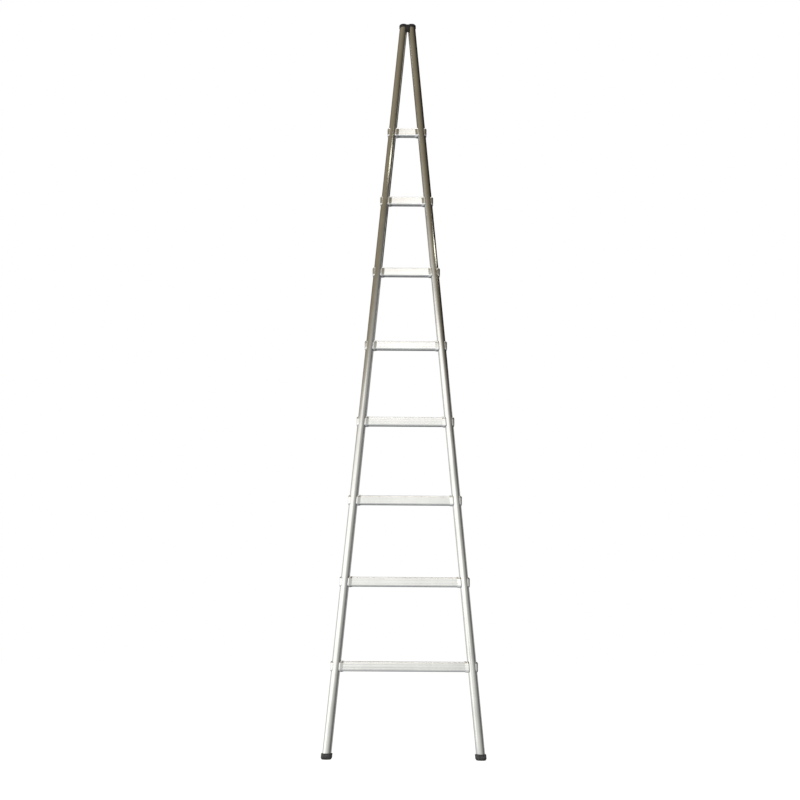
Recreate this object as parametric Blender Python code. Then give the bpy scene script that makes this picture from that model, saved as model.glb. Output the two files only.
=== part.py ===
"""A pointed aluminium orchard ladder: two round stiles that meet at the tip, joined by eight swaged rungs.

Metres. +Z runs up the ladder, X across it, and the front, where the climber stands, faces -Y. The origin
lies on the ground midway between the feet. Run it with: blender --background --python part.py
"""

import math

import bmesh
import bpy

# The ladder as a whole.
RUNG_COUNT = 8
RUNG_PITCH = 0.300
LOWEST_RUNG_Z = 0.3185  # centre of the lowest rung
BASE_SPACING = 0.546  # between the stiles' axes at ground level
TIP_SPACING = 0.0331  # between the stiles' axes at their upper ends
STILE_TOP_Z = 2.8955
GAP = 0.0003  # between pieces that touch

# Stiles: round tube, cut level at both ends.
STILE_RADIUS = 0.016
STILE_WALL = 0.0018
STILE_BORE_RADIUS = STILE_RADIUS - STILE_WALL
STILE_SEGMENTS = 32

# Rungs: a hollow rounded rectangle with V grooves along every face.
RUNG_HEIGHT = 0.035
RUNG_DEPTH = 0.024
RUNG_CORNER_RADIUS = 0.006
RUNG_CORNER_SEGMENTS = 2
RUNG_WALL = 0.0018
GROOVE_HALF_WIDTH = 0.0006
GROOVE_DEPTH = 0.0004
FACE_GROOVES = (-0.0055, 0.0055)  # heights of the front and rear faces' grooves
TREAD_GROOVES = (0.0,)  # depths of the tread's and the underside's grooves
BEAD_PROUD = 0.0020
BEAD_CREST = 0.0050  # from the stile to the swaged bead's crest
BEAD_LENGTH = 0.0155  # from the stile to the end of the bead
COLLAR_LENGTH = 0.0042  # how far a rung's end stands out beyond the stile
COLLAR_ROLL = 0.0044  # how far the end narrows all round
COLLAR_LIP = 0.0012  # wall left at the narrow edge
COLLAR_CURVE = 2.5  # how late it narrows: 1 would make it a straight cone

# Tip: one moulding with two heads, a hollow leg in each stile, and a web in front.
TIP_TOP_Z = 2.909
HEAD_RADIUS = 0.0179
HEAD_EDGE_RADIUS = 0.0032
LEG_RADIUS = STILE_BORE_RADIUS - 0.0004
LEG_WALL = 0.0026
LEG_LENGTH = 0.036
# Heights and half widths of the web, from the top down.
WEB_SHAPE = (
    (2.9050, 0.0098),
    (2.8950, 0.0098),
    (2.8890, 0.0090),
    (2.8830, 0.0060),
    (2.8770, 0.0036),
    (2.8738, 0.0027),
    (2.8705, 0.0016),
)
WEB_FRONT_Y = -0.0165
WEB_BACK_Y = -0.0125
WEB_CUT_MARGIN = 0.004  # how far the space cleared for a stile runs past the web
TIP_SEGMENTS = 32

# Feet: a moulded socket on a rubber sole, both tapering and leaning with the stile.
FOOT_RADIUS = 0.0200
SOCKET_TOP_Z = 0.0208
SOCKET_BOTTOM_Z = 0.0060
SOCKET_FLOOR_Z = 0.0100
SOCKET_RIM_CHAMFER = 0.0010
SPIGOT_RADIUS = 0.0060
SPIGOT_TOP_Z = 0.0080
SOLE_RADIUS = 0.0165
SOLE_TOP_RADIUS = 0.0197
SOLE_SLOTS = (-0.0065, 0.0065)
SOLE_SLOT_WIDTH = 0.0020
SOLE_SLOT_DEPTH = 0.0015
FOOT_SEGMENTS = 32
STILE_BOTTOM_Z = SOCKET_FLOOR_Z + GAP

# Blind rivets, all set from behind.
RIVET_RADIUS = 0.0020
RIVET_HEAD_RADIUS = 0.0035
RIVET_HEAD_HEIGHT = 0.0012
RIVET_BULB_RADIUS = 0.0028
RIVET_BULB_LENGTH = 0.0030
RIVET_SEGMENTS = 16
FOOT_RIVET_Z = 0.0153
TIP_RIVET_Z = 2.880
COUNTERBORE_DEPTH = 0.0018

LEAN = (BASE_SPACING - TIP_SPACING) / 2 / STILE_TOP_Z  # how far a stile moves inwards for each metre up
STRETCH = math.hypot(1, LEAN)  # a level cut through a leaning tube is this much wider along X
LEFT, RIGHT = -1, 1


def axis_x(z):
    """Distance of a stile's axis from the ladder's centre plane at height z."""
    return BASE_SPACING / 2 - LEAN * z


def clear_scene():
    for obj in list(bpy.data.objects):
        bpy.data.objects.remove(obj, do_unlink=True)


def make_material(name, colour, roughness, metallic):
    material = bpy.data.materials.new(name)
    material.use_nodes = True
    shader = material.node_tree.nodes["Principled BSDF"]
    shader.inputs["Base Color"].default_value = (*colour, 1.0)
    shader.inputs["Roughness"].default_value = roughness
    shader.inputs["Metallic"].default_value = metallic
    return material


def add_object(name, bm, material=None):
    """Turns a bmesh into an object with outward normals, smooth where it is round."""
    bmesh.ops.recalc_face_normals(bm, faces=bm.faces)
    mesh = bpy.data.meshes.new(name)
    bm.to_mesh(mesh)
    bm.free()
    mesh.shade_smooth()
    mesh.set_sharp_from_angle(angle=math.radians(35))
    if material:
        mesh.materials.append(material)
    obj = bpy.data.objects.new(name, mesh)
    bpy.context.scene.collection.objects.link(obj)
    return obj


def loft(bm, rings, closed=False):
    """Joins rings of points with quads; a ring of one point closes to it, and closed joins last to first."""
    made = [[bm.verts.new(point) for point in ring] for ring in rings]
    pairs = list(zip(made, made[1:]))
    if closed:
        pairs.append((made[-1], made[0]))
    for low, high in pairs:
        count = max(len(low), len(high))
        for i in range(count):
            j = (i + 1) % count
            corners = [low[i % len(low)], low[j % len(low)], high[j % len(high)], high[i % len(high)]]
            bm.faces.new(list(dict.fromkeys(corners)))
    return made


def leaning_ring(side, radius, z, segments):
    """A level ring about a stile's axis, as wide as a level cut through a leaning tube."""
    centre = side * axis_x(z)
    if radius == 0:
        return [(centre, 0.0, z)]
    turns = [2 * math.pi * i / segments for i in range(segments)]
    return [(centre + radius * STRETCH * math.cos(a), radius * math.sin(a), z) for a in turns]


def turned_about_y(profile, x, z, segments):
    """Rings about an axis along Y through (x, z), for a profile of (radius, y) pairs."""
    turns = [2 * math.pi * i / segments for i in range(segments)]
    rings = []
    for radius, y in profile:
        if radius == 0:
            rings.append([(x, y, z)])
        else:
            rings.append([(x + radius * math.cos(a), y, z + radius * math.sin(a)) for a in turns])
    return rings


def hide_cutter(obj):
    obj.hide_render = True
    obj.display_type = "WIRE"


def add_boolean(obj, other, operation):
    modifier = obj.modifiers.new(other.name, "BOOLEAN")
    modifier.operation = operation
    modifier.solver = "EXACT"
    modifier.object = other
    hide_cutter(other)


def rung_outline(grow=0.0, groove_depth=0.0, with_grooves=True):
    """A rung's section as (y, z) points, anticlockwise from the front lower corner."""
    half_depth = RUNG_DEPTH / 2 + grow
    half_height = RUNG_HEIGHT / 2 + grow
    radius = RUNG_CORNER_RADIUS + grow
    points = []

    def corner(y, z, start):
        for i in range(RUNG_CORNER_SEGMENTS + 1):
            angle = math.radians(start + 90 * i / RUNG_CORNER_SEGMENTS)
            points.append((y + radius * math.cos(angle), z + radius * math.sin(angle)))

    def grooves(places, place_point):
        for place in places if with_grooves else ():
            points.append(place_point(place - GROOVE_HALF_WIDTH, 0.0))
            points.append(place_point(place, groove_depth))
            points.append(place_point(place + GROOVE_HALF_WIDTH, 0.0))

    core_y, core_z = half_depth - radius, half_height - radius
    corner(-core_y, -core_z, 180)
    grooves(TREAD_GROOVES, lambda y, depth: (y, -half_height + depth))
    corner(core_y, -core_z, 270)
    grooves(FACE_GROOVES, lambda z, depth: (half_depth - depth, z))
    corner(core_y, core_z, 0)
    grooves(TREAD_GROOVES, lambda y, depth: (-y, half_height - depth))
    corner(-core_y, core_z, 90)
    grooves(FACE_GROOVES, lambda z, depth: (-half_depth + depth, -z))
    return points


def stile_surface(y, z, facing, clearance):
    """Distance from the centre plane to a stile's surface, outer (facing 1) or inner (facing -1)."""
    radius = STILE_RADIUS + clearance
    return axis_x(z) + facing * STRETCH * math.sqrt(radius**2 - y**2)


def rung_stations(centre_z):
    """The section's growth, its grooves' share and its distance from the centre plane, middle to one end."""

    def from_stile(inset):
        return lambda y, z: stile_surface(y, z, -1, GAP) - inset

    def past_stile(y, z):
        return stile_surface(y, z, 1, GAP)

    def towards_end(share):
        return lambda y, z: past_stile(y, z) * (1 - share) + end * share

    end = stile_surface(0, centre_z, 1, 0) + COLLAR_LENGTH
    stations = [
        (0.0, 1.0, from_stile(BEAD_LENGTH)),
        (BEAD_PROUD, 0.4, from_stile(BEAD_CREST)),
        (0.0, 0.0, from_stile(0.0)),
        (0.0, 0.0, past_stile),
    ]
    for share in (0.5, 0.8, 1.0):
        stations.append((-COLLAR_ROLL * share**COLLAR_CURVE, 0.0, towards_end(share)))
    return stations


def make_rung(number, material):
    centre_z = LOWEST_RUNG_Z + RUNG_PITCH * (number - 1)
    stations = rung_stations(centre_z)
    outer, bore = [], []
    for side in (LEFT, RIGHT):
        half = []
        for grow, grooved, distance in stations:
            section = [(y, centre_z + z) for y, z in rung_outline(grow, GROOVE_DEPTH * grooved)]
            half.append([(side * distance(y, z), y, z) for y, z in section])
        outer = half[::-1] if side == LEFT else outer + half
        end = half[-1][0][0]
        mouth = [(end, y, centre_z + z) for y, z in rung_outline(-COLLAR_ROLL - COLLAR_LIP)]
        throat = [(end - side * COLLAR_LENGTH, y, centre_z + z) for y, z in rung_outline(-RUNG_WALL)]
        bore += [mouth, throat] if side == LEFT else [throat, mouth]
    bm = bmesh.new()
    loft(bm, outer + bore[::-1], closed=True)
    return add_object(f"rung_{number}", bm, material)


def rung_hole_cutter(side):
    """The holes for all the rungs through one stile."""
    bm = bmesh.new()
    outline = rung_outline(GAP, with_grooves=False)
    for number in range(RUNG_COUNT):
        centre_z = LOWEST_RUNG_Z + RUNG_PITCH * number
        middle = side * axis_x(centre_z)
        ends = [
            [(middle + reach, y, centre_z + z) for y, z in outline]
            for reach in (-2 * STILE_RADIUS, 2 * STILE_RADIUS)
        ]
        first, last = loft(bm, ends)
        bm.faces.new(first)
        bm.faces.new(last)
    bmesh.ops.recalc_face_normals(bm, faces=bm.faces)
    return add_object("rung_holes", bm)


def rivet_hole_cutter(side, z, inner_y, outer_y, radius=RIVET_RADIUS + GAP):
    bm = bmesh.new()
    profile = [(0, inner_y), (radius, inner_y), (radius, outer_y), (0, outer_y)]
    loft(bm, turned_about_y(profile, side * axis_x(z), z, RIVET_SEGMENTS))
    return add_object("rivet_hole", bm)


def make_stile(name, side, material):
    bm = bmesh.new()
    corners = (
        (STILE_RADIUS, STILE_BOTTOM_Z),
        (STILE_RADIUS, STILE_TOP_Z),
        (STILE_BORE_RADIUS, STILE_TOP_Z),
        (STILE_BORE_RADIUS, STILE_BOTTOM_Z),
    )
    loft(bm, [leaning_ring(side, radius, z, STILE_SEGMENTS) for radius, z in corners], closed=True)
    stile = add_object(name, bm, material)
    add_boolean(stile, rung_hole_cutter(side), "DIFFERENCE")
    for z in (FOOT_RIVET_Z, TIP_RIVET_Z):
        hole = rivet_hole_cutter(side, z, STILE_BORE_RADIUS / 2, 2 * STILE_RADIUS)
        add_boolean(stile, hole, "DIFFERENCE")
    return stile


def make_rivet(name, side, z, seat_y, bore_radius, material):
    """A blind rivet whose head rests on seat_y and whose bulb lies inside a bore along Z."""
    head_under = seat_y + GAP
    head_top = head_under + RIVET_HEAD_HEIGHT
    bulb_start = math.sqrt(bore_radius**2 - RIVET_BULB_RADIUS**2) - GAP
    bulb_end = bulb_start - RIVET_BULB_LENGTH
    profile = [
        (0, head_top),
        (RIVET_HEAD_RADIUS * 0.55, head_top),
        (RIVET_HEAD_RADIUS, head_under + RIVET_HEAD_HEIGHT * 0.4),
        (RIVET_HEAD_RADIUS, head_under),
        (RIVET_RADIUS, head_under),
        (RIVET_RADIUS, bulb_start),
        (RIVET_BULB_RADIUS, bulb_start),
        (RIVET_BULB_RADIUS, bulb_end + RIVET_BULB_LENGTH * 0.3),
        (RIVET_RADIUS, bulb_end),
        (0, bulb_end),
    ]
    bm = bmesh.new()
    loft(bm, turned_about_y(profile, side * axis_x(z), z, RIVET_SEGMENTS))
    return add_object(name, bm, material)


def tip_half(name, side, material=None):
    """One head with its hollow leg. The head stands level, and the leg leans with its stile."""
    head_bottom = STILE_TOP_Z + GAP
    centre = side * axis_x(STILE_TOP_Z)
    leg_bottom = STILE_TOP_Z - LEG_LENGTH
    leg_inner = LEG_RADIUS - LEG_WALL

    def head_ring(radius, z):
        turns = [2 * math.pi * i / TIP_SEGMENTS for i in range(TIP_SEGMENTS)]
        return [(centre + radius * math.cos(a), radius * math.sin(a), z) for a in turns]

    edge_centre = (HEAD_RADIUS - HEAD_EDGE_RADIUS, TIP_TOP_Z - HEAD_EDGE_RADIUS)
    rings = [
        leaning_ring(side, 0, head_bottom, TIP_SEGMENTS),
        leaning_ring(side, leg_inner, head_bottom, TIP_SEGMENTS),
        leaning_ring(side, leg_inner, leg_bottom, TIP_SEGMENTS),
        leaning_ring(side, LEG_RADIUS - 0.0008, leg_bottom, TIP_SEGMENTS),
        leaning_ring(side, LEG_RADIUS, leg_bottom + 0.003, TIP_SEGMENTS),
        leaning_ring(side, LEG_RADIUS, head_bottom, TIP_SEGMENTS),
        head_ring(HEAD_RADIUS - 0.0004, head_bottom),
        head_ring(HEAD_RADIUS, head_bottom + 0.0006),
    ]
    for angle in (0, 30, 60, 90):
        radius = edge_centre[0] + HEAD_EDGE_RADIUS * math.cos(math.radians(angle))
        rings.append(head_ring(radius, edge_centre[1] + HEAD_EDGE_RADIUS * math.sin(math.radians(angle))))
    rings.append([(centre, 0.0, TIP_TOP_Z)])
    bm = bmesh.new()
    loft(bm, rings)
    return add_object(name, bm, material)


def stile_clearance_cutter(side):
    """The space that a stile takes up beside the web."""
    radius = STILE_RADIUS + GAP
    low = WEB_SHAPE[-1][0] - WEB_CUT_MARGIN
    high = WEB_SHAPE[0][0] + WEB_CUT_MARGIN
    bm = bmesh.new()
    profile = ((0, low), (radius, low), (radius, high), (0, high))
    loft(bm, [leaning_ring(side, r, z, TIP_SEGMENTS) for r, z in profile])
    return add_object("stile_clearance", bm)


def tip_web():
    """A gusset over the V between the two stiles, narrowing down from the heads and fitted round the tubes."""
    rings = []
    for z, half_width in WEB_SHAPE:
        corners = ((-1, WEB_FRONT_Y), (1, WEB_FRONT_Y), (1, WEB_BACK_Y), (-1, WEB_BACK_Y))
        rings.append([(across * half_width, y, z) for across, y in corners])
    bm = bmesh.new()
    made = loft(bm, rings)
    bm.faces.new(made[0])
    bm.faces.new(made[-1])
    web = add_object("tip_web", bm)
    for side in (LEFT, RIGHT):
        add_boolean(web, stile_clearance_cutter(side), "DIFFERENCE")
    return web


def make_tip(material):
    tip = tip_half("tip_fitting", LEFT, material)
    add_boolean(tip, tip_half("tip_right_half", RIGHT), "UNION")
    add_boolean(tip, tip_web(), "UNION")
    for side in (LEFT, RIGHT):
        hole = rivet_hole_cutter(side, TIP_RIVET_Z, 0.0, STILE_RADIUS)
        add_boolean(tip, hole, "DIFFERENCE")
    return tip


def make_foot_socket(name, side, material):
    bore = STILE_RADIUS + GAP
    profile = (
        (0, SOCKET_FLOOR_Z),
        (bore, SOCKET_FLOOR_Z),
        (bore, SOCKET_TOP_Z),
        (FOOT_RADIUS - SOCKET_RIM_CHAMFER, SOCKET_TOP_Z),
        (FOOT_RADIUS, SOCKET_TOP_Z - SOCKET_RIM_CHAMFER),
        (FOOT_RADIUS, SOCKET_BOTTOM_Z),
        (SPIGOT_RADIUS + GAP, SOCKET_BOTTOM_Z),
        (SPIGOT_RADIUS + GAP, SPIGOT_TOP_Z + GAP),
        (0, SPIGOT_TOP_Z + GAP),
    )
    bm = bmesh.new()
    loft(bm, [leaning_ring(side, radius, z, FOOT_SEGMENTS) for radius, z in profile])
    socket = add_object(name, bm, material)
    hole = rivet_hole_cutter(side, FOOT_RIVET_Z, STILE_RADIUS / 2, 2 * FOOT_RADIUS)
    add_boolean(socket, hole, "DIFFERENCE")
    counterbore = rivet_hole_cutter(
        side,
        FOOT_RIVET_Z,
        FOOT_RADIUS - COUNTERBORE_DEPTH,
        2 * FOOT_RADIUS,
        RIVET_HEAD_RADIUS + GAP,
    )
    add_boolean(socket, counterbore, "DIFFERENCE")
    return socket


def sole_slot_cutter(side, y):
    bm = bmesh.new()
    middle = side * axis_x(0)
    rings = []
    for x in (middle - 2 * FOOT_RADIUS, middle + 2 * FOOT_RADIUS):
        rings.append(
            [
                (x, y - SOLE_SLOT_WIDTH / 2, -SOLE_SLOT_DEPTH),
                (x, y + SOLE_SLOT_WIDTH / 2, -SOLE_SLOT_DEPTH),
                (x, y + SOLE_SLOT_WIDTH / 2, SOLE_SLOT_DEPTH),
                (x, y - SOLE_SLOT_WIDTH / 2, SOLE_SLOT_DEPTH),
            ]
        )
    first, last = loft(bm, rings)
    bm.faces.new(first)
    bm.faces.new(last)
    return add_object("sole_slot", bm)


def make_foot_sole(name, side, material):
    top = SOCKET_BOTTOM_Z - GAP
    profile = (
        (0, 0),
        (SOLE_RADIUS, 0),
        (SOLE_TOP_RADIUS, top),
        (SPIGOT_RADIUS, top),
        (SPIGOT_RADIUS, SPIGOT_TOP_Z),
        (0, SPIGOT_TOP_Z),
    )
    bm = bmesh.new()
    loft(bm, [leaning_ring(side, radius, z, FOOT_SEGMENTS) for radius, z in profile])
    sole = add_object(name, bm, material)
    for y in SOLE_SLOTS:
        add_boolean(sole, sole_slot_cutter(side, y), "DIFFERENCE")
    return sole


def main():
    clear_scene()
    stile_metal = make_material("stile_aluminium", (0.80, 0.79, 0.76), 0.30, 1.0)
    rung_metal = make_material("rung_aluminium", (0.86, 0.86, 0.85), 0.35, 1.0)
    rivet_metal = make_material("rivet_aluminium", (0.70, 0.70, 0.71), 0.40, 1.0)
    black_plastic = make_material("black_plastic", (0.02, 0.02, 0.02), 0.45, 0.0)
    grey_plastic = make_material("grey_plastic", (0.06, 0.06, 0.06), 0.60, 0.0)
    sole_rubber = make_material("sole_rubber", (0.04, 0.04, 0.04), 0.85, 0.0)

    for number in range(1, RUNG_COUNT + 1):
        make_rung(number, rung_metal)
    make_tip(black_plastic)
    for word, side in (("left", LEFT), ("right", RIGHT)):
        make_stile(f"stile_{word}", side, stile_metal)
        leg_bore = LEG_RADIUS - LEG_WALL
        make_rivet(f"tip_rivet_{word}", side, TIP_RIVET_Z, STILE_RADIUS, leg_bore, rivet_metal)
        make_foot_socket(f"foot_socket_{word}", side, grey_plastic)
        make_foot_sole(f"foot_sole_{word}", side, sole_rubber)
        seat = FOOT_RADIUS - COUNTERBORE_DEPTH
        make_rivet(f"foot_rivet_{word}", side, FOOT_RIVET_Z, seat, STILE_BORE_RADIUS, rivet_metal)


main()
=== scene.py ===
"""Looks of a pointed aluminium orchard ladder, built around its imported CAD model.

Metres. +Z runs up the ladder, X across it, and the front, where the climber stands, faces -Y. Each CAD piece
is replaced by a finer mesh of the same piece, placed from the CAD piece's own box.
"""

import math

import bmesh
import bpy
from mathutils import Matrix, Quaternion, Vector


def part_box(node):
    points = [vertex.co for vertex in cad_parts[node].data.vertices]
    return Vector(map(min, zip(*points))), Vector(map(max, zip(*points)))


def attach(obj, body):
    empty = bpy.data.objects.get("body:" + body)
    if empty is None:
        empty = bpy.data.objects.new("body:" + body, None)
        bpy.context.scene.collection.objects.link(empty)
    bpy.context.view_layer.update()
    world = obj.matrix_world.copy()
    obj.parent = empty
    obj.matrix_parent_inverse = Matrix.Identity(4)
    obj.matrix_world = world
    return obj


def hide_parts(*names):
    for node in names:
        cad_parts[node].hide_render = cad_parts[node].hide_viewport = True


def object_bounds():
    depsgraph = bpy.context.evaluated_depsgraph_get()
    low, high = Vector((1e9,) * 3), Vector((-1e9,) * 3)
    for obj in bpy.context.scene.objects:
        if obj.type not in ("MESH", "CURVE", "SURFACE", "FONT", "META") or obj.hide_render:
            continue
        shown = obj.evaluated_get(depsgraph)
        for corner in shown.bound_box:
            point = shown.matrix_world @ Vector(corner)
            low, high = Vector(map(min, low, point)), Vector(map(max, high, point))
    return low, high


LEFT, RIGHT = -1, 1
SIDES = (("left", LEFT), ("right", RIGHT))
GAP = 0.0003  # between pieces that touch

# Stiles.
STILE_WALL = 0.0018
STILE_SEGMENTS = 96
RING_SPACING = 0.05  # between the rings of points along a stile
HOLE_MARGIN = 0.008  # from a rung's hole to the nearest ring

# Rungs.
RUNG_WALL = 0.0018
RUNG_CORNER_RADIUS = 0.006
RUNG_CORNER_SEGMENTS = 8
GROOVE_POINTS = 8
# Each groove is its place across the face, its half width and its depth.
FACE_GROOVES = ((-0.0055, 0.0006, 0.00006), (0.0055, 0.0006, 0.00006))
TREAD_GROOVES = (
    (-0.0044, 0.0005, 0.0002),
    (-0.0022, 0.0005, 0.0002),
    (0.0, 0.0006, 0.0003),
    (0.0022, 0.0005, 0.0002),
    (0.0044, 0.0005, 0.0002),
)
BEAD_PROUD = 0.0020
BEAD_CREST = 0.0050  # from the stile to the swaged bead's crest
BEAD_LENGTH = 0.0155
BEAD_STATIONS = 16
BEAD_FOOT = 0.2  # share of its height that the bead keeps where it meets the stile
COLLAR_PROUD = 0.0005
COLLAR_ROLL = 0.0044  # how far a rung's end narrows beyond the stile
COLLAR_CURVE = 2.5  # how late it narrows: 1 would make it a straight cone
COLLAR_LIP = 0.0012  # wall left at the narrow edge
COLLAR_LENGTH = 0.0042
COLLAR_STATIONS = 12

# Tip fitting.
HEAD_EDGE_RADIUS = 0.0032
LEG_CLEARANCE = 0.0004  # between a leg and the stile's bore
LEG_WALL = 0.0026
# Heights and half widths of the web, from the top down.
WEB_SHAPE = (
    (2.9050, 0.0094),
    (2.9046, 0.0098),
    (2.8950, 0.0098),
    (2.8920, 0.0096),
    (2.8890, 0.0088),
    (2.8860, 0.0075),
    (2.8830, 0.0060),
    (2.8800, 0.0047),
    (2.8770, 0.0036),
    (2.8738, 0.0027),
    (2.8712, 0.0020),
    (2.8705, 0.0014),
)
WEB_FRONT_Y = -0.0165
WEB_BACK_Y = -0.0125
WEB_CHAMFER = 0.0006
WEB_CUT_MARGIN = 0.004
TIP_SEGMENTS = 96

# Feet.
SOCKET_WALL_UNDER_STILE = 0.0040
SPIGOT_RADIUS = 0.006
FLUTES = 16
FLUTE_DEPTH = 0.0013
FLUTE_POINTS = 12
SOLE_RADIUS = 0.0165
SOLE_EDGE_RADIUS = 0.0010
SOLE_SEGMENTS = 96
# Each slot across the sole is its place along Y, its width and its depth.
SOLE_SLOTS = (
    (-0.0105, 0.0010, 0.0008),
    (-0.0065, 0.0020, 0.0015),
    (-0.0025, 0.0010, 0.0008),
    (0.0025, 0.0010, 0.0008),
    (0.0065, 0.0020, 0.0015),
    (0.0105, 0.0010, 0.0008),
)

# Rivets.
RIVET_RADIUS = 0.0020
RIVET_BULB_RADIUS = 0.0028
RIVET_BULB_LENGTH = 0.0030
RIVET_HEAD_HEIGHT = 0.0012
MANDREL_RADIUS = 0.0009
MANDREL_GROOVE = 0.0002  # width of the ring round the mandrel's end
RIVET_SEGMENTS = 48

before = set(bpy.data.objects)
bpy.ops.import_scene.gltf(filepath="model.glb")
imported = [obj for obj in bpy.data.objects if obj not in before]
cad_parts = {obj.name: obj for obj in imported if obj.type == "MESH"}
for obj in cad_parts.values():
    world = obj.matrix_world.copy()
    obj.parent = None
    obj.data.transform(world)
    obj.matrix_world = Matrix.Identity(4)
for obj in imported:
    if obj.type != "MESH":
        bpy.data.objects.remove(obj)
cad_low, cad_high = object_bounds()


def stile_lean(width, height, radius):
    """How far a stile moves inwards for each metre up, from the size of its box."""
    lean = 0.0
    for _ in range(5):
        lean = (width - 2 * radius * math.hypot(1, lean)) / height
    return lean


STILE_LOW, STILE_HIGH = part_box("stile_right")
STILE_RADIUS = (STILE_HIGH.y - STILE_LOW.y) / 2
STILE_BORE = STILE_RADIUS - STILE_WALL
LEAN = stile_lean(STILE_HIGH.x - STILE_LOW.x, STILE_HIGH.z - STILE_LOW.z, STILE_RADIUS)
STRETCH = math.hypot(1, LEAN)  # a level cut through a leaning tube is this much wider along X
RUNG_NODES = sorted(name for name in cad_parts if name.startswith("rung_"))


def axis_x(z):
    """Distance of a stile's axis from the ladder's centre plane at height z."""
    return STILE_HIGH.x - STILE_RADIUS * STRETCH - LEAN * (z - STILE_LOW.z)


def box_centre_z(node):
    low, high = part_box(node)
    return (low.z + high.z) / 2


# ---------------------------------------------------------------- mesh helpers


def new_object(name, bm, material=None, sharp_angle=35):
    """Turns a bmesh into an object with outward normals, smooth where it is round."""
    bmesh.ops.recalc_face_normals(bm, faces=bm.faces)
    mesh = bpy.data.meshes.new(name)
    bm.to_mesh(mesh)
    bm.free()
    mesh.shade_smooth()
    mesh.set_sharp_from_angle(angle=math.radians(sharp_angle))
    if material:
        mesh.materials.append(material)
    obj = bpy.data.objects.new(name, mesh)
    bpy.context.scene.collection.objects.link(obj)
    return obj


def loft(bm, rings, closed=False):
    """Joins rings of points with quads; a ring of one point closes to it, and closed joins last to first."""
    made = [[bm.verts.new(point) for point in ring] for ring in rings]
    pairs = list(zip(made, made[1:]))
    if closed:
        pairs.append((made[-1], made[0]))
    for low, high in pairs:
        count = max(len(low), len(high))
        for i in range(count):
            j = (i + 1) % count
            corners = [low[i % len(low)], low[j % len(low)], high[j % len(high)], high[i % len(high)]]
            bm.faces.new(list(dict.fromkeys(corners)))
    return made


def turns(count):
    return [2 * math.pi * i / count for i in range(count)]


def leaning_ring(side, radius, z, segments):
    """A level ring about a stile's axis, as wide as a level cut through a leaning tube."""
    centre = side * axis_x(z)
    if radius == 0:
        return [(centre, 0.0, z)]
    return [(centre + radius * STRETCH * math.cos(a), radius * math.sin(a), z) for a in turns(segments)]


def turned_about_y(profile, x, z, segments):
    """Rings about an axis along Y through (x, z), for a profile of (radius, y) pairs."""
    rings = []
    for radius, y in profile:
        if radius == 0:
            rings.append([(x, y, z)])
        else:
            rings.append([(x + radius * math.cos(a), y, z + radius * math.sin(a)) for a in turns(segments)])
    return rings


def arc(centre_r, centre_z, radius, start, end, steps):
    """(radius, height) points along an arc of a profile, angles in degrees."""
    points = []
    for i in range(steps + 1):
        angle = math.radians(start + (end - start) * i / steps)
        points.append((centre_r + radius * math.cos(angle), centre_z + radius * math.sin(angle)))
    return points


def apply_modifiers(obj):
    graph = bpy.context.evaluated_depsgraph_get()
    mesh = bpy.data.meshes.new_from_object(obj.evaluated_get(graph))
    obj.modifiers.clear()
    obj.data = mesh


def boolean(obj, cutters, operation="DIFFERENCE", sharp_angle=35):
    """Cuts each cutter from obj, or joins it on, and then removes the cutters."""
    for cutter in cutters:
        modifier = obj.modifiers.new(cutter.name, "BOOLEAN")
        modifier.operation = operation
        modifier.solver = "EXACT"
        modifier.object = cutter
    apply_modifiers(obj)
    for cutter in cutters:
        bpy.data.objects.remove(cutter, do_unlink=True)
    obj.data.shade_smooth()
    obj.data.set_sharp_from_angle(angle=math.radians(sharp_angle))


def place(piece, node):
    """The piece stands for one CAD node, whose own mesh is hidden, and rides on the root body."""
    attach(piece, "root")
    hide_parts(node)


# ---------------------------------------------------------------- rungs


def groove_points(groove):
    """(place, depth) points across one groove, a smooth trough."""
    middle, half_width, depth = groove
    points = []
    for i in range(GROOVE_POINTS + 1):
        across = 2 * i / GROOVE_POINTS - 1
        points.append((middle + half_width * across, depth * (1 + math.cos(math.pi * across)) / 2))
    return points


def rung_outline(size, grow, grooved):
    """A rung's section as (y, z) points, anticlockwise from the front lower corner."""
    half_depth = size[0] / 2 + grow
    half_height = size[1] / 2 + grow
    radius = RUNG_CORNER_RADIUS + grow
    points = []

    def corner(y, z, start):
        points.extend(arc(y, z, radius, start, start + 90, RUNG_CORNER_SEGMENTS))

    def grooves(all_grooves, place_point):
        for groove in all_grooves:
            for across, depth in groove_points(groove):
                points.append(place_point(across, depth * grooved))

    core_y, core_z = half_depth - radius, half_height - radius
    corner(-core_y, -core_z, 180)
    grooves(TREAD_GROOVES, lambda y, depth: (y, -half_height + depth))
    corner(core_y, -core_z, 270)
    grooves(FACE_GROOVES, lambda z, depth: (half_depth - depth, z))
    corner(core_y, core_z, 0)
    grooves(TREAD_GROOVES, lambda y, depth: (-y, half_height - depth))
    corner(-core_y, core_z, 90)
    grooves(FACE_GROOVES, lambda z, depth: (-half_depth + depth, -z))
    return points


def stile_surface(y, z, facing, clearance):
    """Distance from the centre plane to a stile's surface, outer (facing 1) or inner (facing -1)."""
    radius = STILE_RADIUS + clearance
    return axis_x(z) + facing * STRETCH * math.sqrt(radius**2 - y**2)


def bead_growth(inset):
    """How far the swaged bead stands proud at a distance from the stile's surface."""
    if inset < BEAD_CREST:
        return BEAD_PROUD * (BEAD_FOOT + (1 - BEAD_FOOT) * math.sin(math.pi / 2 * inset / BEAD_CREST))
    share = (inset - BEAD_CREST) / (BEAD_LENGTH - BEAD_CREST)
    return BEAD_PROUD * (1 + math.cos(math.pi * share)) / 2


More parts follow.
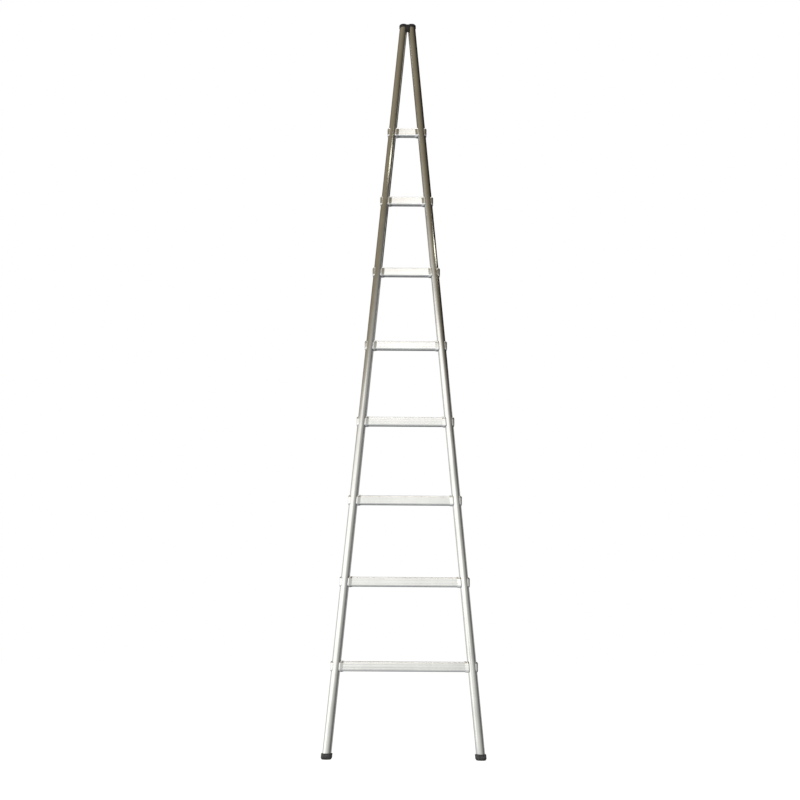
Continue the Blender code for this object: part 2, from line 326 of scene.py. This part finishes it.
def rung_stations(end):
    """Each station of a half rung, from the middle out: growth, grooves' share and distance as f(y, z)."""

    def from_stile(inset):
        return lambda y, z: stile_surface(y, z, -1, GAP) - inset

    def past_stile(y, z):
        return stile_surface(y, z, 1, GAP)

    def towards_end(share):
        return lambda y, z: past_stile(y, z) * (1 - share) + end * share

    stations = []
    for i in range(BEAD_STATIONS + 1):
        share = 1 - i / BEAD_STATIONS
        stations.append((bead_growth(BEAD_LENGTH * share), share, from_stile(BEAD_LENGTH * share)))
    stations.append((0.0, 0.0, from_stile(0.0)))
    stations.append((0.0, 0.0, past_stile))
    for i in range(COLLAR_STATIONS + 1):
        share = i / COLLAR_STATIONS
        growth = COLLAR_PROUD * (1 - share) - COLLAR_ROLL * share**COLLAR_CURVE
        stations.append((growth, 0.0, towards_end(share)))
    return stations


def make_rung(node, material):
    """A grooved hollow rung with a swaged bead inside each stile and a narrowed end outside it."""
    low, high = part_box(node)
    centre_z = box_centre_z(node)
    size = (high.y - low.y - 2 * BEAD_PROUD, high.z - low.z - 2 * BEAD_PROUD)
    stations = rung_stations(high.x)
    inner_wall = [
        (-COLLAR_ROLL - COLLAR_LIP / 2, high.x),
        (-COLLAR_ROLL - COLLAR_LIP, high.x - COLLAR_LIP / 2),
        (-RUNG_WALL, high.x - COLLAR_LENGTH),
    ]
    outer, bore = [], []
    for side in (LEFT, RIGHT):
        half = []
        for grow, grooved, distance in stations:
            section = [(y, centre_z + z) for y, z in rung_outline(size, grow, grooved)]
            half.append([(side * distance(y, z), y, z) for y, z in section])
        inside = [
            [(side * x, y, centre_z + z) for y, z in rung_outline(size, grow, 0.0)] for grow, x in inner_wall
        ]
        outer = half[::-1] if side == LEFT else outer + half
        bore = inside if side == LEFT else bore + inside[::-1]
    bm = bmesh.new()
    loft(bm, outer + bore[::-1], closed=True)
    piece = new_object(node + "_extrusion", bm, material, sharp_angle=50)
    place(piece, node)
    return piece


# ---------------------------------------------------------------- stiles


def rung_hole_cutter(side, node):
    low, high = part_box(node)
    centre_z = box_centre_z(node)
    size = (high.y - low.y - 2 * BEAD_PROUD, high.z - low.z - 2 * BEAD_PROUD)
    outline = rung_outline(size, GAP, 0.0)
    middle = side * axis_x(centre_z)
    bm = bmesh.new()
    ends = [
        [(middle + reach, y, centre_z + z) for y, z in outline]
        for reach in (-2 * STILE_RADIUS, 2 * STILE_RADIUS)
    ]
    first, last = loft(bm, ends)
    bm.faces.new(first)
    bm.faces.new(last)
    return new_object("rung_hole", bm)


def rivet_hole_cutter(side, z, inner_y, outer_y, radius):
    bm = bmesh.new()
    profile = [(0, inner_y), (radius, inner_y), (radius, outer_y), (0, outer_y)]
    loft(bm, turned_about_y(profile, side * axis_x(z), z, RIVET_SEGMENTS))
    return new_object("rivet_hole", bm)


def stile_ring_heights():
    """Ring heights along a stile, kept clear of the rungs' holes."""
    heights = [STILE_LOW.z]
    holes = sorted((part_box(node)[0].z - HOLE_MARGIN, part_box(node)[1].z + HOLE_MARGIN) for node in RUNG_NODES)
    start = STILE_LOW.z + HOLE_MARGIN * 2
    for low, high in [*holes, (STILE_HIGH.z - HOLE_MARGIN * 3, STILE_HIGH.z)]:
        count = max(1, round((low - start) / RING_SPACING))
        heights.extend(start + (low - start) * i / count for i in range(count + 1))
        start = high
    heights.append(STILE_HIGH.z)
    return heights


def make_stile(word, side, material):
    """A round tube with a shaped hole for each rung and a hole for each rivet."""
    heights = stile_ring_heights()
    bm = bmesh.new()
    outer = [leaning_ring(side, STILE_RADIUS, z, STILE_SEGMENTS) for z in heights]
    inner = [leaning_ring(side, STILE_BORE, z, STILE_SEGMENTS) for z in reversed(heights)]
    loft(bm, outer + inner, closed=True)
    piece = new_object(f"stile_{word}_tube", bm, material)
    cutters = [rung_hole_cutter(side, node) for node in RUNG_NODES]
    for node in (f"foot_rivet_{word}", f"tip_rivet_{word}"):
        cutters.append(
            rivet_hole_cutter(side, box_centre_z(node), STILE_BORE / 2, 2 * STILE_RADIUS, RIVET_RADIUS + GAP)
        )
    boolean(piece, cutters)
    place(piece, f"stile_{word}")
    return piece


# ---------------------------------------------------------------- tip fitting


def tip_half(name, side, material):
    """One domed head with its hollow leg. The head stands level, and the leg leans with its stile."""
    low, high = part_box("tip_fitting")
    head_radius = high.y
    head_bottom = STILE_HIGH.z + GAP
    centre = side * axis_x(STILE_HIGH.z)
    leg_radius = STILE_BORE - LEG_CLEARANCE
    leg_inner = leg_radius - LEG_WALL

    def head_ring(radius, z):
        return [(centre + radius * math.cos(a), radius * math.sin(a), z) for a in turns(TIP_SEGMENTS)]

    rings = [
        leaning_ring(side, 0, head_bottom, TIP_SEGMENTS),
        leaning_ring(side, leg_inner, head_bottom, TIP_SEGMENTS),
        leaning_ring(side, leg_inner, low.z, TIP_SEGMENTS),
        leaning_ring(side, leg_radius - 0.0008, low.z, TIP_SEGMENTS),
        leaning_ring(side, leg_radius, low.z + 0.003, TIP_SEGMENTS),
        leaning_ring(side, leg_radius, head_bottom, TIP_SEGMENTS),
        head_ring(head_radius - 0.0004, head_bottom),
        head_ring(head_radius, head_bottom + 0.0006),
    ]
    edge = arc(head_radius - HEAD_EDGE_RADIUS, high.z - HEAD_EDGE_RADIUS, HEAD_EDGE_RADIUS, 0, 90, 8)
    rings += [head_ring(radius, z) for radius, z in edge]
    rings.append([(centre, 0.0, high.z)])
    bm = bmesh.new()
    loft(bm, rings)
    return new_object(name, bm, material)


def stile_clearance_cutter(side):
    """The space that a stile takes up beside the web."""
    radius = STILE_RADIUS + GAP
    low = WEB_SHAPE[-1][0] - WEB_CUT_MARGIN
    high = WEB_SHAPE[0][0] + WEB_CUT_MARGIN
    bm = bmesh.new()
    profile = ((0, low), (radius, low), (radius, high), (0, high))
    loft(bm, [leaning_ring(side, r, z, TIP_SEGMENTS) for r, z in profile])
    return new_object("stile_clearance", bm)


def tip_web():
    """A web over the V between the two stiles, narrowing down from the heads, cut to clear the tubes."""
    rings = []
    for z, half_width in WEB_SHAPE:
        outline = (
            (-half_width, WEB_BACK_Y),
            (-half_width, WEB_FRONT_Y + WEB_CHAMFER),
            (WEB_CHAMFER - half_width, WEB_FRONT_Y),
            (half_width - WEB_CHAMFER, WEB_FRONT_Y),
            (half_width, WEB_FRONT_Y + WEB_CHAMFER),
            (half_width, WEB_BACK_Y),
        )
        rings.append([(x, y, z) for x, y in outline])
    bm = bmesh.new()
    made = loft(bm, rings)
    bm.faces.new(made[0])
    bm.faces.new(made[-1])
    web = new_object("tip_web", bm)
    boolean(web, [stile_clearance_cutter(side) for side in (LEFT, RIGHT)])
    return web


def make_tip(material):
    """Both heads, both legs and the web as one moulding."""
    piece = tip_half("tip_fitting_moulding", LEFT, material)
    joined = [tip_half("tip_right_half", RIGHT, material), tip_web()]
    boolean(piece, joined, "UNION")
    holes = [
        rivet_hole_cutter(side, box_centre_z(f"tip_rivet_{word}"), 0.0, STILE_RADIUS, RIVET_RADIUS + GAP)
        for word, side in SIDES
    ]
    boolean(piece, holes)
    place(piece, "tip_fitting")
    return piece


# ---------------------------------------------------------------- feet


def fluted_ring(side, radius, z, depth):
    """A ring whose edge dips between narrow upright ribs."""
    centre = side * axis_x(z)
    points = []
    for i, a in enumerate(turns(FLUTES * FLUTE_POINTS)):
        share = (i % FLUTE_POINTS) / FLUTE_POINTS
        dip = depth * math.sin(math.pi * share) ** 0.7
        r = radius - dip
        points.append((centre + r * STRETCH * math.cos(a), r * math.sin(a), z))
    return points


def make_foot_socket(word, side, material):
    """A ribbed moulded cup round the stile's end, with a recess behind for the rivet's head."""
    node = f"foot_socket_{word}"
    low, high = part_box(node)
    radius = high.y
    bore = STILE_RADIUS + GAP
    floor_z = low.z + SOCKET_WALL_UNDER_STILE
    spigot_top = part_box(f"foot_sole_{word}")[1].z + GAP
    count = FLUTES * FLUTE_POINTS

    def plain(r, z):
        return leaning_ring(side, r, z, count)

    rings = [
        plain(0, floor_z),
        plain(bore, floor_z),
        plain(bore, high.z - 0.0004),
        plain(bore + 0.0004, high.z),
        plain(radius - 0.0016, high.z),
    ]
    rings += [plain(r, z) for r, z in arc(radius - 0.0012, high.z - 0.0012, 0.0012, 75, 0, 5)]
    rings += [
        plain(radius, high.z - 0.0026),
        fluted_ring(side, radius, high.z - 0.0032, FLUTE_DEPTH),
        fluted_ring(side, radius, low.z + 0.0016, FLUTE_DEPTH),
        plain(radius, low.z + 0.0010),
    ]
    rings += [plain(r, z) for r, z in arc(radius - 0.0005, low.z + 0.0005, 0.0005, 0, -75, 3)]
    rings += [
        plain(radius - 0.0007, low.z),
        plain(SPIGOT_RADIUS + GAP, low.z),
        plain(SPIGOT_RADIUS + GAP, spigot_top),
        plain(0, spigot_top),
    ]
    bm = bmesh.new()
    loft(bm, rings)
    piece = new_object(node + "_moulding", bm, material, sharp_angle=40)
    rivet_low, rivet_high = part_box(f"foot_rivet_{word}")
    z = box_centre_z(f"foot_rivet_{word}")
    head_radius = (rivet_high.z - rivet_low.z) / 2
    seat = rivet_high.y - RIVET_HEAD_HEIGHT - GAP
    holes = [
        rivet_hole_cutter(side, z, STILE_RADIUS / 2, 2 * radius, RIVET_RADIUS + GAP),
        rivet_hole_cutter(side, z, seat, 2 * radius, head_radius + GAP),
    ]
    boolean(piece, holes, sharp_angle=40)
    place(piece, node)
    return piece


def sole_slot_cutter(side, slot):
    y, width, depth = slot
    middle = side * axis_x(0)
    reach = 2 * SOLE_RADIUS
    rings = []
    for x in (middle - reach, middle + reach):
        rings.append(
            [
                (x, y - width / 2, -depth),
                (x, y + width / 2, -depth),
                (x, y + width / 2, depth),
                (x, y - width / 2, depth),
            ]
        )
    bm = bmesh.new()
    first, last = loft(bm, rings)
    bm.faces.new(first)
    bm.faces.new(last)
    return new_object("sole_slot", bm)


def make_foot_sole(word, side, material):
    """A tapered rubber sole with slots across its underside and a spigot up into the socket."""
    node = f"foot_sole_{word}"
    low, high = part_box(node)
    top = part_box(f"foot_socket_{word}")[0].z - GAP
    top_radius = high.y

    def plain(r, z):
        return leaning_ring(side, r, z, SOLE_SEGMENTS)

    rings = [plain(0, low.z), plain(SOLE_RADIUS - SOLE_EDGE_RADIUS, low.z)]
    edge = arc(SOLE_RADIUS - SOLE_EDGE_RADIUS, low.z + SOLE_EDGE_RADIUS, SOLE_EDGE_RADIUS, -75, -25, 4)
    rings += [plain(r, z) for r, z in edge]
    for share in (0.3, 0.55, 0.8):
        z = low.z + (top - low.z) * share
        radius = SOLE_RADIUS + (top_radius - SOLE_RADIUS) * share
        rings += [plain(radius, z - 0.0004), plain(radius - 0.0004, z), plain(radius, z + 0.0004)]
    rings += [
        plain(top_radius, top - 0.0004),
        plain(top_radius - 0.0004, top),
        plain(SPIGOT_RADIUS, top),
        plain(SPIGOT_RADIUS, high.z - 0.0005),
        plain(SPIGOT_RADIUS - 0.0005, high.z),
        plain(0, high.z),
    ]
    bm = bmesh.new()
    loft(bm, rings)
    piece = new_object(node + "_rubber", bm, material, sharp_angle=40)
    boolean(piece, [sole_slot_cutter(side, slot) for slot in SOLE_SLOTS], sharp_angle=40)
    place(piece, node)
    return piece


# ---------------------------------------------------------------- rivets


def make_rivet(node, side, material):
    """A blind rivet: a low domed head with the broken mandrel's recess, a shank and an upset bulb."""
    low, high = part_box(node)
    head_radius = (high.z - low.z) / 2
    under = high.y - RIVET_HEAD_HEIGHT
    bulb_end = low.y
    bulb_start = bulb_end + RIVET_BULB_LENGTH
    recess = high.y - RIVET_HEAD_HEIGHT * 0.6
    dome = []
    rim = MANDREL_RADIUS + MANDREL_GROOVE
    for i in range(9):
        share = i / 8
        radius = rim + (head_radius - rim) * math.sin(math.pi / 2 * share)
        dome.append((radius, under + 0.0003 + (RIVET_HEAD_HEIGHT - 0.0003) * math.cos(math.pi / 2 * share)))
    profile = [(0, recess + 0.0001), (MANDREL_RADIUS, recess), *dome, (head_radius, under)]
    profile += [(RIVET_RADIUS, under), (RIVET_RADIUS, bulb_start + 0.0002), (RIVET_BULB_RADIUS, bulb_start)]
    profile += [(r, y) for r, y in arc(RIVET_BULB_RADIUS - 0.0008, bulb_end + 0.0008, 0.0008, 0, -90, 5)]
    profile.append((0, bulb_end))
    bm = bmesh.new()
    loft(bm, turned_about_y(profile, side * axis_x(box_centre_z(node)), box_centre_z(node), RIVET_SEGMENTS))
    piece = new_object(node + "_turned", bm, material)
    place(piece, node)
    return piece


# ---------------------------------------------------------------- materials


def add_node(tree, kind, inputs=None, **settings):
    """Adds a shader node. Each input is a plain value or another node's output socket."""
    made = tree.nodes.new(kind)
    for name, value in settings.items():
        setattr(made, name, value)
    for key, value in (inputs or {}).items():
        if isinstance(value, bpy.types.NodeSocket):
            tree.links.new(value, made.inputs[key])
        else:
            made.inputs[key].default_value = value
    return made


def math_node(tree, operation, first, second=0.0, third=0.0):
    return add_node(tree, "ShaderNodeMath", {0: first, 1: second, 2: third}, operation=operation).outputs[0]


def ramp(tree, factor, stops, interpolation="LINEAR"):
    """A colour ramp through (position, colour) stops."""
    made = add_node(tree, "ShaderNodeValToRGB", {0: factor})
    made.color_ramp.interpolation = interpolation
    elements = made.color_ramp.elements
    while len(elements) < len(stops):
        elements.new(0.5)
    for element, (position, colour) in zip(elements, stops):
        element.position = position
    for element, (position, colour) in zip(elements, stops):
        element.color = (*colour, 1.0) if len(colour) == 3 else colour
    return made.outputs["Color"]


def grey(value):
    return (value, value, value)


def start_material(name):
    """A material with its tree, its Principled shader and the object's own coordinates."""
    material = bpy.data.materials.new(name)
    material.use_nodes = True
    tree = material.node_tree
    shader = tree.nodes["Principled BSDF"]
    place_at = add_node(tree, "ShaderNodeTexCoord").outputs["Object"]
    return material, tree, shader, place_at


def stretched(tree, place_at, scale, turn=(0.0, 0.0, 0.0)):
    mapping = add_node(tree, "ShaderNodeMapping", {"Vector": place_at, "Rotation": turn, "Scale": scale})
    return mapping.outputs["Vector"]


def noise(tree, vector, scale, detail=4.0, roughness=0.5):
    inputs = {"Vector": vector, "Scale": scale, "Detail": detail, "Roughness": roughness}
    return add_node(tree, "ShaderNodeTexNoise", inputs).outputs[0]


def aluminium(name, colour, along, across, base_roughness, lean=0.0):
    """Extruded aluminium: draw lines along one axis, faint oxide clouds, handling scuffs and painted shade
    darkening the creases.
    """
    material, tree, shader, place_at = start_material(name)
    turn = (0.0, lean, 0.0)
    lines_scale = [across, across, across]
    lines_scale[along] = across / 90
    draw_lines = noise(tree, stretched(tree, place_at, tuple(lines_scale), turn), 1.0, 3.0, 0.6)
    broad_scale = [v / 12 for v in lines_scale]
    broad_lines = noise(tree, stretched(tree, place_at, tuple(broad_scale), turn), 1.0, 2.0)
    clouds = noise(tree, place_at, 9.0, 5.0, 0.6)
    scuffs = noise(tree, stretched(tree, place_at, (70, 70, 160), (0.4, 0.7, 0.2)), 1.0, 6.0, 0.75)
    scuff_mask = add_node(
        tree, "ShaderNodeMapRange", {"Value": scuffs, "From Min": 0.60, "From Max": 0.72}
    ).outputs["Result"]
    # Painted shade: where ambient occlusion finds a crease, the base colour is mixed towards a darker copy of
    # the metal's colour.
    crease = add_node(tree, "ShaderNodeAmbientOcclusion", {"Distance": 0.004}, samples=4).outputs["AO"]
    open_air = add_node(
        tree, "ShaderNodeMapRange", {"Value": crease, "From Min": 0.25, "From Max": 0.8}
    ).outputs["Result"]

    dull = tuple(0.86 * channel for channel in colour)
    cloud_colour = ramp(tree, clouds, [(0.30, dull), (0.62, colour)])
    crease_shade = tuple(0.6 * channel for channel in colour)
    inputs = {0: open_air, 6: (*crease_shade, 1.0), 7: cloud_colour}
    shade = add_node(tree, "ShaderNodeMix", inputs, data_type="RGBA")
    tree.links.new(shade.outputs[2], shader.inputs["Base Color"])
    shader.inputs["Metallic"].default_value = 1.0

    rough = math_node(tree, "MULTIPLY_ADD", draw_lines, 0.06, base_roughness - 0.05)
    rough = math_node(tree, "MULTIPLY_ADD", clouds, 0.05, rough)
    rough = math_node(tree, "MULTIPLY_ADD", scuff_mask, 0.08, rough)
    tree.links.new(rough, shader.inputs["Roughness"])

    height = math_node(tree, "MULTIPLY_ADD", broad_lines, 1.4, draw_lines)
    bump = add_node(tree, "ShaderNodeBump", {"Height": height, "Strength": 0.10, "Distance": 0.00002})
    tree.links.new(bump.outputs["Normal"], shader.inputs["Normal"])
    return material


def turned_metal(name, colour):
    """Rivets: a fine grain, duller patches and a satin skin."""
    material, tree, shader, place_at = start_material(name)
    grain = noise(tree, place_at, 2600.0, 3.0)
    patches = noise(tree, place_at, 300.0, 3.0)
    dull = tuple(0.75 * channel for channel in colour)
    tree.links.new(ramp(tree, patches, [(0.35, dull), (0.65, colour)]), shader.inputs["Base Color"])
    shader.inputs["Metallic"].default_value = 1.0
    tree.links.new(math_node(tree, "MULTIPLY_ADD", grain, 0.25, 0.22), shader.inputs["Roughness"])
    bump = add_node(tree, "ShaderNodeBump", {"Height": grain, "Strength": 0.3, "Distance": 0.00002})
    tree.links.new(bump.outputs["Normal"], shader.inputs["Normal"])
    return material


def moulded(name, colour, worn, gloss_roughness, grain_scale, dust):
    """Moulded plastic or rubber: a fine grain, paler wear in blotches and dust where the surface looks up."""
    material, tree, shader, place_at = start_material(name)
    grain = noise(tree, place_at, grain_scale, 2.0)
    blotches = noise(tree, place_at, 120.0, 5.0, 0.65)
    scratches = noise(tree, stretched(tree, place_at, (900, 900, 120), (0.3, 0.5, 0.1)), 1.0, 4.0, 0.7)
    wear = math_node(tree, "MULTIPLY", blotches, scratches)
    base = ramp(tree, wear, [(0.20, colour), (0.42, worn)])
    normal = add_node(tree, "ShaderNodeNewGeometry").outputs["Normal"]
    upward = add_node(tree, "ShaderNodeSeparateXYZ", {0: normal})
    lying = math_node(tree, "MULTIPLY", upward.outputs["Z"], dust)
    dusty = math_node(tree, "MAXIMUM", math_node(tree, "MULTIPLY", lying, blotches), 0.0)
    mixed = add_node(
        tree, "ShaderNodeMix", {0: dusty, 6: base, 7: (0.30, 0.28, 0.25, 1.0)}, data_type="RGBA"
    )
    tree.links.new(mixed.outputs[2], shader.inputs["Base Color"])
    rough = math_node(tree, "MULTIPLY_ADD", blotches, 0.25, gloss_roughness - 0.10)
    tree.links.new(rough, shader.inputs["Roughness"])
    bump = add_node(tree, "ShaderNodeBump", {"Height": grain, "Strength": 0.5, "Distance": 0.00008})
    tree.links.new(bump.outputs["Normal"], shader.inputs["Normal"])
    return material


# ---------------------------------------------------------------- studio


# The studio as the metal sees it, from the ground up: the colour of the ground and of the pale walls, each
# with the elevations in degrees between which it turns to the next, and then a dim warm ceiling.
LAYERS = (
    ((0.36, 0.37, 0.38), -15.0, -5.0),
    ((0.50, 0.50, 0.48), 8.0, 24.0),
)
CEILING = (0.15, 0.13, 0.09)
SURROUNDINGS_STRENGTH = 1.0
# The studio is brightest towards the key azimuth, in degrees, by this share of its average, and as much
# dimmer on the opposite side. Azimuth 0 is behind the climber and +90 the ladder's right.
KEY_AZIMUTH = -60.0
KEY_SHARE = 0.9

OVERHEAD_PLACE = (0.0, -1.0, 6.5)
OVERHEAD_SIZE = 3.0
OVERHEAD_BRIGHTNESS = 2.1
# The upper rungs' panel behind the climber: its middle along X, its lowest and highest Z, its width and its
# brightness.
RUNG_PANEL = (-0.3, 3.4, 9.0, 1.6, 1.10)
RUNG_PANEL_Y = -8.0
# Softboxes round the ladder: azimuth and elevation in degrees, width and height in metres, brightness.
SOFTBOXES = (
    ("softbox_left", -75.0, 0.0, 12.0, 7.0, 0.40),
    ("softbox_front", -25.0, 5.0, 12.0, 5.0, 0.42),
    ("softbox_back_right", 125.0, 0.0, 8.0, 8.0, 0.35),
)
SOFTBOX_DISTANCE = 12.0
SOFTBOX_TARGET_Z = 1.4
# Each strip lamp's stile, the height at which it is aimed, its azimuth and elevation from there, and its
# width.
STRIP_LAMPS = ((LEFT, 2.28, 20.0, 25.0, 3.0), (RIGHT, 1.90, 60.0, 26.0, 3.0))
STRIP_DISTANCE = 5.0
STRIP_HEIGHT = 0.14
STRIP_BRIGHTNESS = 2.4
STRIP_COLOUR = (1.0, 1.0, 0.84)

FLOOR_HALF_WIDTH = 30.0
FLOOR_GAP = 0.0005  # below the soles

CAMERA_PLACE = (-0.0213, -3.894, 0.370)
CAMERA_TILT = 13.49  # degrees up from level
CAMERA_ROLL = 0.38
CAMERA_SENSOR = 36.0  # millimetres, as the lens is
CAMERA_LENS = 47.25


def smooth_step(tree, value, low, high):
    inputs = {"Value": value, "From Min": low, "From Max": high}
    return add_node(tree, "ShaderNodeMapRange", inputs, interpolation_type="SMOOTHSTEP").outputs["Result"]


def make_surroundings():
    """The studio seen in the metal. Seen straight from the camera, the surroundings are plain white."""
    world = bpy.data.worlds.new("studio")
    bpy.context.scene.world = world
    world.use_nodes = True
    tree = world.node_tree
    tree.nodes.clear()
    direction = add_node(tree, "ShaderNodeTexCoord").outputs["Generated"]
    xyz = add_node(tree, "ShaderNodeSeparateXYZ", {0: direction})
    towards_climber = math_node(tree, "MULTIPLY", xyz.outputs["Y"], -1.0)
    azimuth = math_node(tree, "ARCTAN2", xyz.outputs["X"], towards_climber)
    elevation = math_node(tree, "MULTIPLY", math_node(tree, "ARCSINE", xyz.outputs["Z"]), 180 / math.pi)

    room = (*CEILING, 1.0)
    for colour, low, high in reversed(LAYERS):
        above = smooth_step(tree, elevation, low, high)
        inputs = {0: above, 6: (*colour, 1.0), 7: room}
        room = add_node(tree, "ShaderNodeMix", inputs, data_type="RGBA").outputs[2]
    from_key = math_node(tree, "SUBTRACT", azimuth, math.radians(KEY_AZIMUTH))
    facing_key = math_node(tree, "COSINE", from_key)
    swing = KEY_SHARE * SURROUNDINGS_STRENGTH
    strength = math_node(tree, "MULTIPLY_ADD", facing_key, swing, SURROUNDINGS_STRENGTH)
    seen_in_metal = add_node(tree, "ShaderNodeBackground", {"Color": room, "Strength": strength})
    plain_white = add_node(tree, "ShaderNodeBackground", {"Color": (1.0, 1.0, 1.0, 1.0), "Strength": 1.0})
    from_camera = add_node(tree, "ShaderNodeLightPath").outputs["Is Camera Ray"]
    both = add_node(
        tree, "ShaderNodeMixShader", {0: from_camera, 1: seen_in_metal.outputs[0], 2: plain_white.outputs[0]}
    )
    add_node(tree, "ShaderNodeOutputWorld", {"Surface": both.outputs[0]})


def make_floor():
    """A plain pale floor. The metal sees the darker floor of the surroundings instead of this one."""
    half = FLOOR_HALF_WIDTH
    bm = bmesh.new()
    corners = [(-half, -half), (half, -half), (half, half), (-half, half)]
    bm.faces.new([bm.verts.new((x, y, cad_low.z - FLOOR_GAP)) for x, y in corners])
    material = bpy.data.materials.new("studio_floor")
    material.use_nodes = True
    shader = material.node_tree.nodes["Principled BSDF"]
    shader.inputs["Base Color"].default_value = (0.3, 0.3, 0.3, 1.0)
    shader.inputs["Roughness"].default_value = 1.0
    shader.inputs["Specular IOR Level"].default_value = 0.0
    shader.inputs["Emission Color"].default_value = (1.0, 1.0, 1.0, 1.0)
    shader.inputs["Emission Strength"].default_value = 0.97
    floor = new_object("floor", bm, material)
    floor.visible_glossy = False


def direction(azimuth, elevation):
    """A unit vector, with azimuth 0 behind the climber and +90 degrees at the ladder's right."""
    azimuth, elevation = math.radians(azimuth), math.radians(elevation)
    level = math.cos(elevation)
    return Vector((level * math.sin(azimuth), -level * math.cos(azimuth), math.sin(elevation)))


def make_light(name, location, target, size, brightness, receivers=(), roll=0.0):
    """A soft rectangular light of an even brightness, which lights only its receivers if it has any."""
    light = bpy.data.lights.new(name, "AREA")
    light.shape = "RECTANGLE"
    light.size, light.size_y = size
    light.energy = brightness * math.pi * size[0] * size[1]
    obj = bpy.data.objects.new(name, light)
    obj.location = location
    facing = (Vector(target) - Vector(location)).to_track_quat("-Z", "Y")
    obj.rotation_euler = (facing @ Quaternion((0.0, 0.0, 1.0), roll)).to_euler()
    obj.visible_camera = False
    bpy.context.scene.collection.objects.link(obj)
    if receivers:
        linked = bpy.data.collections.new(name + "_receivers")
        for receiver in receivers:
            linked.objects.link(receiver)
        obj.light_linking.receiver_collection = linked
    return obj


def make_lights(stiles, rungs):
    """Softboxes overhead and round the ladder, a panel for the rungs and a strip lamp for each stile."""
    size = (OVERHEAD_SIZE, OVERHEAD_SIZE)
    make_light("overhead_softbox", OVERHEAD_PLACE, (0.0, 0.0, 0.0), size, OVERHEAD_BRIGHTNESS)
    middle_x, low, high, width, brightness = RUNG_PANEL
    middle_z = (low + high) / 2
    location = (middle_x, RUNG_PANEL_Y, middle_z)
    make_light("rung_panel", location, (middle_x, 0.0, middle_z), (width, high - low), brightness, rungs)
    target = Vector((0.0, 0.0, SOFTBOX_TARGET_Z))
    for name, azimuth, elevation, width, height, brightness in SOFTBOXES:
        location = target + SOFTBOX_DISTANCE * direction(azimuth, elevation)
        make_light(name, location, target, (width, height), brightness)
    for side, z, azimuth, elevation, width in STRIP_LAMPS:
        target = Vector((side * axis_x(z), 0.0, z))
        location = target + STRIP_DISTANCE * direction(azimuth, elevation)
        name = "strip_lamp_left" if side == LEFT else "strip_lamp_right"
        roll = side * math.atan(LEAN) * math.cos(math.radians(azimuth))
        size = (width, STRIP_HEIGHT)
        lamp = make_light(name, location, target, size, STRIP_BRIGHTNESS, [stiles[side]], roll)
        lamp.data.color = STRIP_COLOUR


def make_camera():
    """A camera at knee height before the ladder, tilted up to take in the tip."""
    camera = bpy.data.cameras.new("camera")
    camera.sensor_width = CAMERA_SENSOR
    camera.lens = CAMERA_LENS
    camera.clip_end = 200.0
    camera.dof.use_dof = False
    obj = bpy.data.objects.new("camera", camera)
    obj.location = CAMERA_PLACE
    obj.rotation_mode = "QUATERNION"
    pitch = Quaternion((1.0, 0.0, 0.0), math.radians(90 + CAMERA_TILT))
    roll = Quaternion((0.0, 0.0, 1.0), math.radians(CAMERA_ROLL))
    obj.rotation_quaternion = pitch @ roll
    bpy.context.scene.collection.objects.link(obj)
    bpy.context.scene.camera = obj


def make_studio(stiles, rungs):
    bpy.context.scene.view_settings.view_transform = "Standard"
    make_surroundings()
    make_floor()
    make_camera()
    make_lights(stiles, rungs)


# ---------------------------------------------------------------- the whole ladder


def make_ladder():
    stile_metal = {}
    for word, side in SIDES:
        lean = side * math.atan(LEAN)
        stile_metal[side] = aluminium(f"stile_aluminium_{word}", (0.84, 0.835, 0.82), 2, 900, 0.09, lean)
    rung_metal = aluminium("rung_aluminium", (0.93, 0.93, 0.92), 0, 1100, 0.18)
    rivet_metal = turned_metal("rivet_aluminium", (0.72, 0.72, 0.73))
    black_plastic = moulded("black_plastic", grey(0.006), grey(0.02), 0.40, 2200.0, 0.08)
    grey_plastic = moulded("grey_plastic", (0.030, 0.031, 0.034), grey(0.13), 0.55, 1800.0, 0.5)
    rubber = moulded("sole_rubber", (0.028, 0.028, 0.029), (0.10, 0.098, 0.095), 0.80, 1400.0, 0.6)

    rungs = [make_rung(node, rung_metal) for node in RUNG_NODES]
    make_tip(black_plastic)
    stiles = {}
    for word, side in SIDES:
        stiles[side] = make_stile(word, side, stile_metal[side])
        make_foot_socket(word, side, grey_plastic)
        make_foot_sole(word, side, rubber)
        make_rivet(f"tip_rivet_{word}", side, rivet_metal)
        make_rivet(f"foot_rivet_{word}", side, rivet_metal)
    return stiles, rungs


make_studio(*make_ladder())
